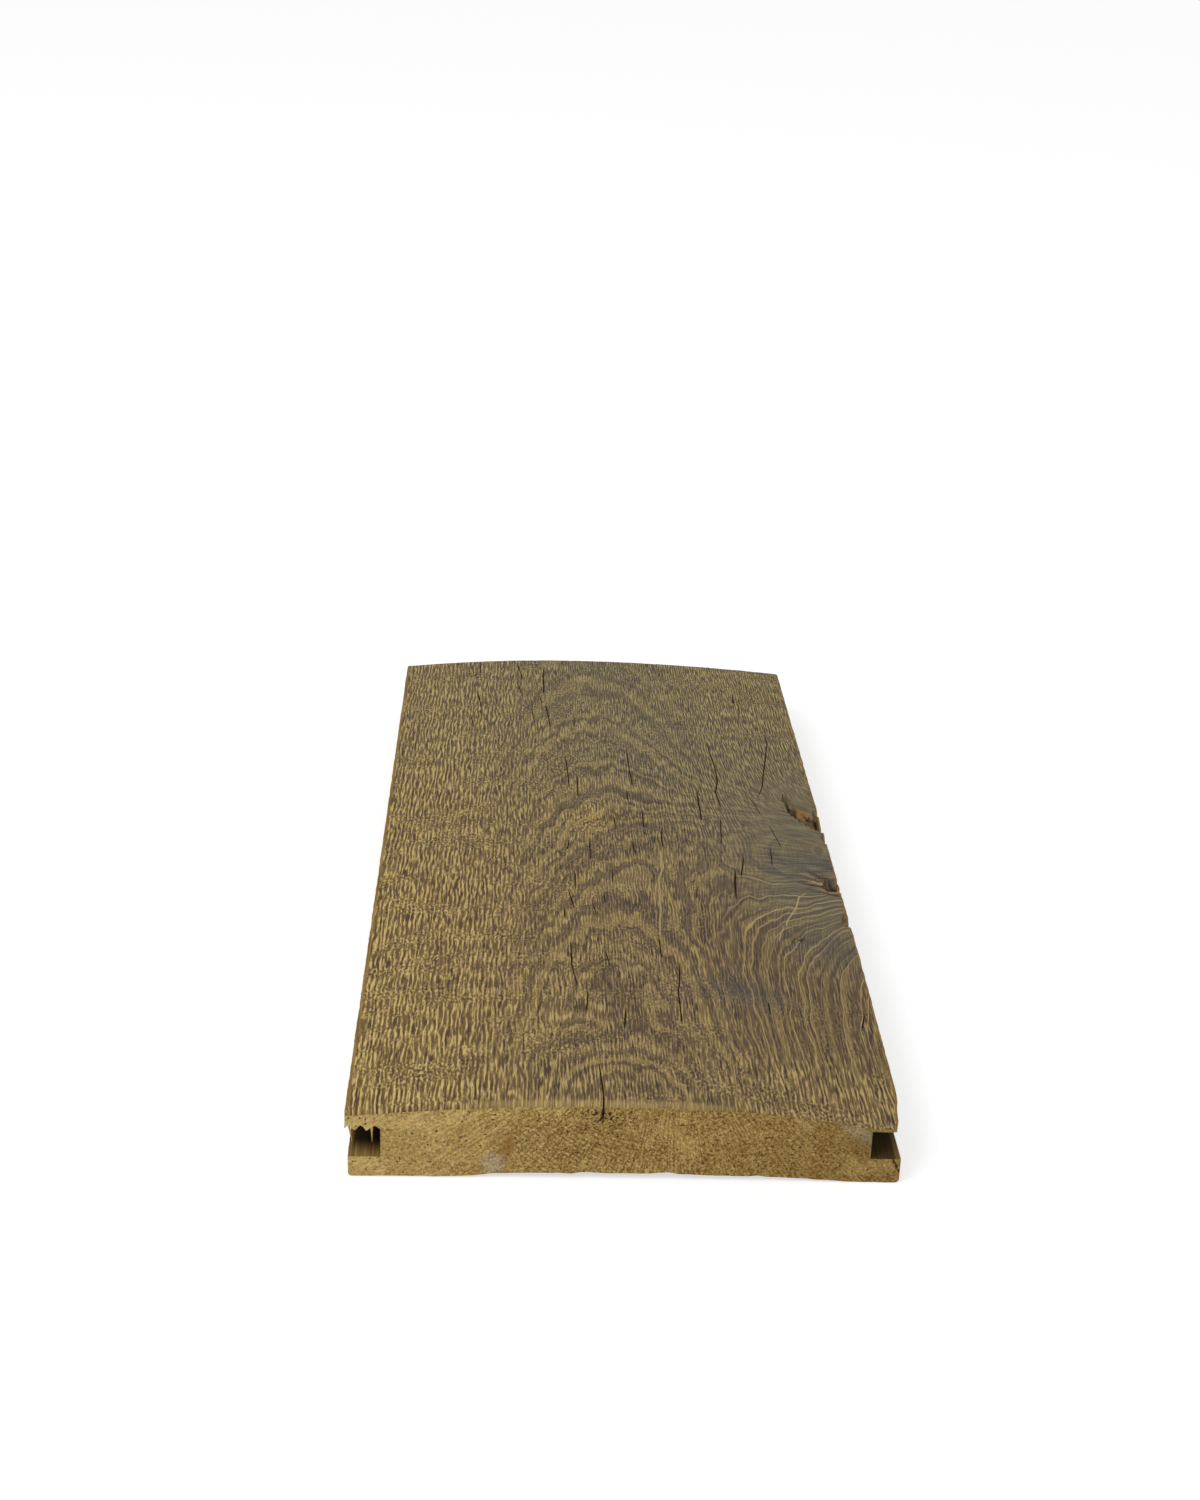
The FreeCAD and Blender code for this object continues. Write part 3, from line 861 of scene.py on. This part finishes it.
def finishMaterial(tree, colour, height, depth, specular):
    normal = addNode(tree, "Bump", {"Height": height, "Distance": depth * mm, "Strength": 1.0})
    shader = addNode(tree, "BsdfPrincipled", {
        "Base Color": colour, "Roughness": 0.8, "Normal": normal, "Specular IOR Level": specular})
    addNode(tree, "OutputMaterial", {"Surface": shader})


# lays washes over a colour: what each follows, where it starts and where it is full, the most
# of it, and a hex colour or a colour that other nodes make
def layWashes(tree, colour, washes):
    for value, start, full, most, wash in washes:
        share = addNode(tree, "MapRange", {
            "Value": value, "From Min": start, "From Max": full, "To Max": most})
        wash = linear(wash) if isinstance(wash, str) else wash
        colour = addNode(tree, "Mix", {0: share, 6: colour, 7: wash}, out=2, data_type="RGBA")
    return colour


# how far each place is from the middle of an oval mark, with 1 at its rim
def ovalReach(tree, place, centre, size, turn):
    inOval = addNode(tree, "Mapping", {
        "Vector": place, "Location": centre, "Scale": size, "Rotation": turn}, vector_type="TEXTURE")
    return addNode(tree, "VectorMath", {0: inOval}, out="Value", operation="LENGTH")


# close to the branches the fibres leave the length of the board: they fan out from between
# the knots, and in front of those they sweep round with the rings
def sweptFibres(tree, place, along, phase):
    x = addNode(tree, "SeparateXYZ", {0: place}, out="X")
    away = addNode(tree, "Math", {0: brushed["fanX"], 1: x}, operation="SUBTRACT")
    aside = addNode(tree, "Math", {0: along, 1: brushed["fanY"]}, operation="SUBTRACT")
    angle = addNode(tree, "Math", {0: aside, 1: away}, operation="ARCTAN2")
    fan = addNode(tree, "CombineXYZ", {0: angle, 1: away})
    fanned = stretchedNoise(tree, fan, brushed["fanSize"], 3.0, noise_dimensions="2D")
    turned = addNode(tree, "Math", {0: phase, 1: brushed["sweptTurns"]}, operation="MULTIPLY")
    turned = addNode(tree, "VectorMath", {
        0: scaledPlace(tree, place, brushed["sweptSize"]),
        1: addNode(tree, "CombineXYZ", {2: turned})}, operation="ADD")
    ringed = addNode(tree, "TexNoise", {"Vector": turned, "Scale": 1.0, "Detail": 3.0})
    before = addNode(tree, "MapRange", {
        "Value": along, "From Min": brushed["sweptFrom"], "From Max": brushed["sweptTo"]})
    swept = addNode(tree, "Mix", {0: before, 2: fanned, 3: ringed})
    return addNode(tree, "MapRange", {"Value": swept, "From Min": 0.34, "From Max": 0.66})


faceColours = {  # in the centre, at the golden left and front, and at the olive far end
    "deep": ("#3d302a", "#48382a", "#443e38"),
    "hollow": ("#564532", "#654f30", "#564c3d"),
    "body": ("#746244", "#897246", "#71664b"),
    "ridge": ("#a0885b", "#c6ac6a", "#988c63"),
}
checkColours = {"pale": "#a28e68", "brown": "#33241a", "red": "#4a2517", "black": "#14100c"}


# oak, wire-brushed, fumed and oiled: golden ridges over grey-brown and purple hollows
def brushedFace():
    material, tree, place = newMaterial("wire-brushed oiled oak")
    read = {
        name: addNode(tree, "Attribute", out="Fac", attribute_name=name) for name in (
            "across", "ring", "arched", "coarse", "crumbs", "gold", "olive", "calm", "stain", "arris",
            "paleCheck", "brownCheck", "redCheck", "blackCheck")
    }
    read["along"] = addNode(tree, "SeparateXYZ", {0: place}, out="Y")
    relief, patch, line, phase = addBrushedRelief(tree, read, True)
    level = {
        name: layWashes(tree, linear(centre), [
            (read["olive"], 0, 1, 1.0, far), (read["gold"], 0, 1, 1.0, left)])
        for name, (centre, left, far) in faceColours.items()
    }
    colour = layWashes(tree, level["hollow"], [
        (patch, 0.46, 0.64, 1.0, level["deep"]), (relief, 0.15, 0.50, 1.0, level["body"]),
        (relief, 0.55, 0.90, 1.0, level["ridge"])])

    # bands of tone that follow the rings, plainest where they arch
    bands = addNode(tree, "TexNoise", {
        "W": phase, "Scale": 1.1, "Detail": 3.0, "Roughness": 0.65}, noise_dimensions="1D")
    dark, light, calmDark = (
        addNode(tree, "MapRange", {
            "Value": read["arched"], "From Max": 0.5, "To Min": 0.35 * most, "To Max": 1.2 * most})
        for most in (0.42, 0.24, 0.45))
    colour = layWashes(tree, colour, [
        (bands, 0.51, 0.59, dark, "#493b32"), (bands, 0.48, 0.40, light, "#a18a55")])

    # calm, blue-grey wood beside the branches, and stains that spare the ridges
    swept = sweptFibres(tree, place, read["along"], phase)
    calmed = layWashes(tree, linear("#524b40"), [
        (swept, 0, 1, 0.75, "#887b59"), (bands, 0.51, 0.59, calmDark, "#484642"),
        (line, 0, 1, 0.75, "#a39667")])
    calm = addNode(tree, "MapRange", {
        "Value": read["calm"], "From Min": 0.05, "From Max": 0.7, "To Max": 0.9})
    relief = addNode(tree, "Mix", {0: calm, 2: relief, 3: swept})
    stained = addNode(tree, "MapRange", {
        "Value": relief, "From Min": 0.9, "From Max": 0.5, "To Min": 0.45 * 0.75, "To Max": 0.75})
    colour = layWashes(tree, colour, [
        (calm, 0, 1, 1.0, calmed), (read["stain"], 0, 1, stained, "#434445"),
        (read["arris"], 0, 1, 0.32, "#b89e64")])

    # the knots' marks have ragged rims and crumbled insides; their near-black hues in the notches and under
    # the first bark pocket's near rim are painted shade
    sway = 2.4
    jitter = addNode(tree, "TexNoise", {"Vector": place, "Scale": 0.5, "Detail": 2.0}, out=1)
    jitter = addNode(tree, "VectorMath", {
        0: jitter, 1: (sway, sway, 0), 2: place}, operation="MULTIPLY_ADD")
    crumbled = addNode(tree, "TexNoise", {"Vector": place, "Scale": 0.9, "Detail": 2.0})
    crumbled = addNode(tree, "MapRange", {
        "Value": crumbled, "From Min": 0.38, "From Max": 0.58, "To Min": 0.45})
    washes = []
    for centreX, centreY, length, width, turn, _, hexColour in knotMarks:
        centre = (centreX + sway / 2, centreY + sway / 2, 0)
        reach = ovalReach(tree, jitter, centre, (length, width, 1e6), (0, 0, math.radians(turn)))
        washes.append((reach, 1.1, 0.7, crumbled, hexColour))
    for name, hexColour in checkColours.items():
        washes.append((read[name + "Check"], 0.1, 0.55, 1.0, hexColour))
    colour = layWashes(tree, colour, washes)
    finishMaterial(tree, colour, relief, depth=0.3, specular=0.15)
    return material


# oak edge, planed and grooved: fine straight grain, with painted shade that makes the grooves nearly black
def planedEdge():
    material, tree, place = newMaterial("planed oak edge")
    grain = stretchedNoise(tree, place, (0.8, 30, 0.8), 4.0, 0.6)
    colour = addNode(tree, "ValToRGB", {"Fac": grain}, stops=[
        (0.3, "#67502c"), (0.45, "#7d6236"), (0.6, "#947743"), (0.75, "#a68a55")])
    paintedGrooveShade = addNode(tree, "Attribute", out="Fac", attribute_name="paintedGrooveShade")
    # painted shade: the grooves turn nearly black deeper in from their open ends
    colour = layWashes(tree, colour, [(paintedGrooveShade, 0, 1, 0.97, "#120b05")])
    finishMaterial(tree, colour, grain, depth=0.12, specular=0.05)
    return material


# oak underside, band-sawn and left rough: faint straight saw lines across the grain
def sawnUnderside():
    material, tree, place = newMaterial("band-sawn oak underside")
    grain = stretchedNoise(tree, place, (1.5, 40, 1.5), 4.0, 0.6)
    colour = addNode(tree, "ValToRGB", {"Fac": grain}, stops=[
        (0.3, "#7a6139"), (0.5, "#917749"), (0.7, "#a68c57")])
    saw = stretchedNoise(tree, place, (90, 4, math.inf), 1.0)
    colour = layWashes(tree, colour, [(saw, 0.5, 0.62, 0.14, "#6a5230")])
    height = addNode(tree, "Math", {0: grain, 1: saw}, operation="ADD")
    finishMaterial(tree, colour, height, depth=0.2, specular=0.2)
    return material


endGrain = {
    "pith": (15.0, 66.0),  # x and z that the rays point to
    "raySize": (1 / 85, 12.0, math.inf),  # radians round the pith, mm out from it
    "ringWidth": 1.7, "ringed": (-22.0, 14.0, 30.0, 13.0),  # rings show in this oval
    "porous": (-8.0, 25.5, 9.0, 4.0),  # open pores crowd in this one, round the end split
    "markDepth": 200.0,  # the front end's marks are gone at the back end
}
# pores, stains and scuffs on the front end, and a band of painted shade under the arris at the right: x, z,
# half length, half width, turn, share, hue
endMarks = [
    (-11.8, 26.9, 0.6, 0.5, 0, 1.0, "#2b1c0d"), (-3.6, 25.8, 0.6, 0.45, 0, 1.0, "#2b1c0d"),
    (-5.7, 25.1, 0.5, 0.5, 0, 1.0, "#2b1c0d"), (-6.0, 22.3, 0.5, 0.4, 0, 0.9, "#2b1c0d"),
    (-14.6, 20.9, 0.6, 0.5, 0, 1.0, "#2b1c0d"), (-11.5, 21.5, 0.5, 0.5, 0, 0.9, "#2b1c0d"),
    (-15.7, 19.4, 0.5, 0.4, 0, 0.9, "#2b1c0d"), (-21.0, 19.9, 0.5, 0.5, 0, 0.9, "#2b1c0d"),
    (-8.6, 28.0, 2.4, 0.75, 84, 1.0, "#0f0a06"), (-9.3, 25.2, 1.4, 0.5, 62, 1.0, "#1a1109"),
    (-10.9, 27.6, 0.8, 0.6, 20, 1.0, "#23170c"), (-6.2, 27.2, 0.7, 0.7, 0, 1.0, "#23170c"),
    (-42.5, 12.5, 6.0, 2.4, 75, 0.55, "#8a5a24"), (-47.0, 6.0, 5.0, 4.6, 35, 0.42, "#b3a894"),
    # the dark band at x 76, just under the arris, is painted shade
    (83.0, 21.5, 9.0, 3.2, -38, 0.34, "#b9ad94"), (76.0, 25.4, 15.0, 1.3, -9, 0.5, "#43351f"),
    (86.0, 18.0, 7.0, 6.0, 50, 0.3, "#55401f"), (98.9, 4.5, 5.0, 1.4, 65, 0.5, "#a0703c"),
]


def endOval(tree, place, x, z, length, width, turn=0):
    size = (length, endGrain["markDepth"], width)
    return ovalReach(tree, place, (x, -halfLength, z), size, (0, -math.radians(turn), 0))


# oak end grain, cross-cut with a coarse saw: golden and granular, with open pores and rays
def sawnEnd():
    material, tree, place = newMaterial("cross-cut oak end grain")
    pithX, pithZ = endGrain["pith"]
    apart = addNode(tree, "VectorMath", {0: place, 1: (pithX, 0, pithZ)}, operation="SUBTRACT")
    apart = addNode(tree, "VectorMath", {0: apart, 1: (1, 0, 1)}, operation="MULTIPLY")
    radius = addNode(tree, "VectorMath", {0: apart}, out="Value", operation="LENGTH")
    angle = addNode(tree, "Math", {
        0: addNode(tree, "SeparateXYZ", {0: apart}, out="X"),
        1: addNode(tree, "SeparateXYZ", {0: apart}, out="Z")}, operation="ARCTAN2")
    polar = addNode(tree, "CombineXYZ", {0: angle, 1: radius})
    rays = stretchedNoise(tree, polar, endGrain["raySize"], 1.0, noise_dimensions="2D")
    grit = addNode(tree, "TexNoise", {"Vector": place, "Scale": 1.1, "Detail": 3.0, "Roughness": 0.7})
    slow = addNode(tree, "TexNoise", {"Vector": place, "Scale": 1 / 13, "Detail": 3.0})
    holes = addNode(tree, "TexNoise", {"Vector": place, "Scale": 0.85, "Detail": 1.0})
    colour = addNode(tree, "ValToRGB", {"Fac": grit}, stops=[
        (0.36, "#4a330f"), (0.44, "#92733a"), (0.54, "#b0914c"), (0.63, "#dcc588")])
    patchy = addNode(tree, "MapRange", {
        "Value": slow, "From Min": 0.42, "From Max": 0.58, "To Max": 0.50})
    turns = 2 * math.pi / endGrain["ringWidth"]
    rings = addNode(tree, "Math", {0: radius, 1: turns}, operation="MULTIPLY")
    rings = addNode(tree, "Math", {0: rings}, operation="SINE")
    ringed = endOval(tree, place, *endGrain["ringed"])
    ringed = addNode(tree, "MapRange", {
        "Value": ringed, "From Min": 1.1, "From Max": 0.5, "To Max": 0.45})
    x = addNode(tree, "SeparateXYZ", {0: place}, out="X")
    crowd = endOval(tree, place, *endGrain["porous"])
    crowd = addNode(tree, "MapRange", {
        "Value": crowd, "From Min": 1.4, "From Max": 0.5, "To Min": 0.65, "To Max": 0.57})
    pores = addNode(tree, "Math", {0: holes, 1: crowd}, operation="SUBTRACT")
    washes = [
        (rays, 0.5, 0.58, patchy, "#5f431a"), (rays, 0.48, 0.40, 0.30, "#cdb070"),
        (rings, -0.2, 1.0, ringed, "#553c18"), (x, -20.0, -95.0, 0.42, "#d6b877"),
        (x, -30.0, 90.0, 0.50, "#6b4d1c"), (slow, 0.60, 0.42, 0.30, "#7a591f"),
        (slow, 0.52, 0.66, 0.25, "#c9aa68"), (pores, 0.0, 0.04, 0.85, "#2b1c0d"),
    ]
    # the long marks, mostly scuffs and stains, and the band of painted shade under the right arris, catch
    # on the raised grit
    caught = addNode(tree, "MapRange", {
        "Value": grit, "From Min": 0.40, "From Max": 0.56, "To Min": 0.35, "To Max": 1.3})
    for x, z, length, width, turn, share, hexColour in endMarks:
        if length > 3:
            share = addNode(tree, "Math", {0: caught, 1: share}, operation="MULTIPLY")
        washes.append((endOval(tree, place, x, z, length, width, turn), 1.3, 0.5, share, hexColour))
    colour = layWashes(tree, colour, washes)
    finishMaterial(tree, colour, grit, depth=0.9, specular=0.2)
    return material


makeCamera()
makeStudio()
print("camera and studio are set")
makePlank()
bpy.context.scene.view_settings.view_transform = "Standard"
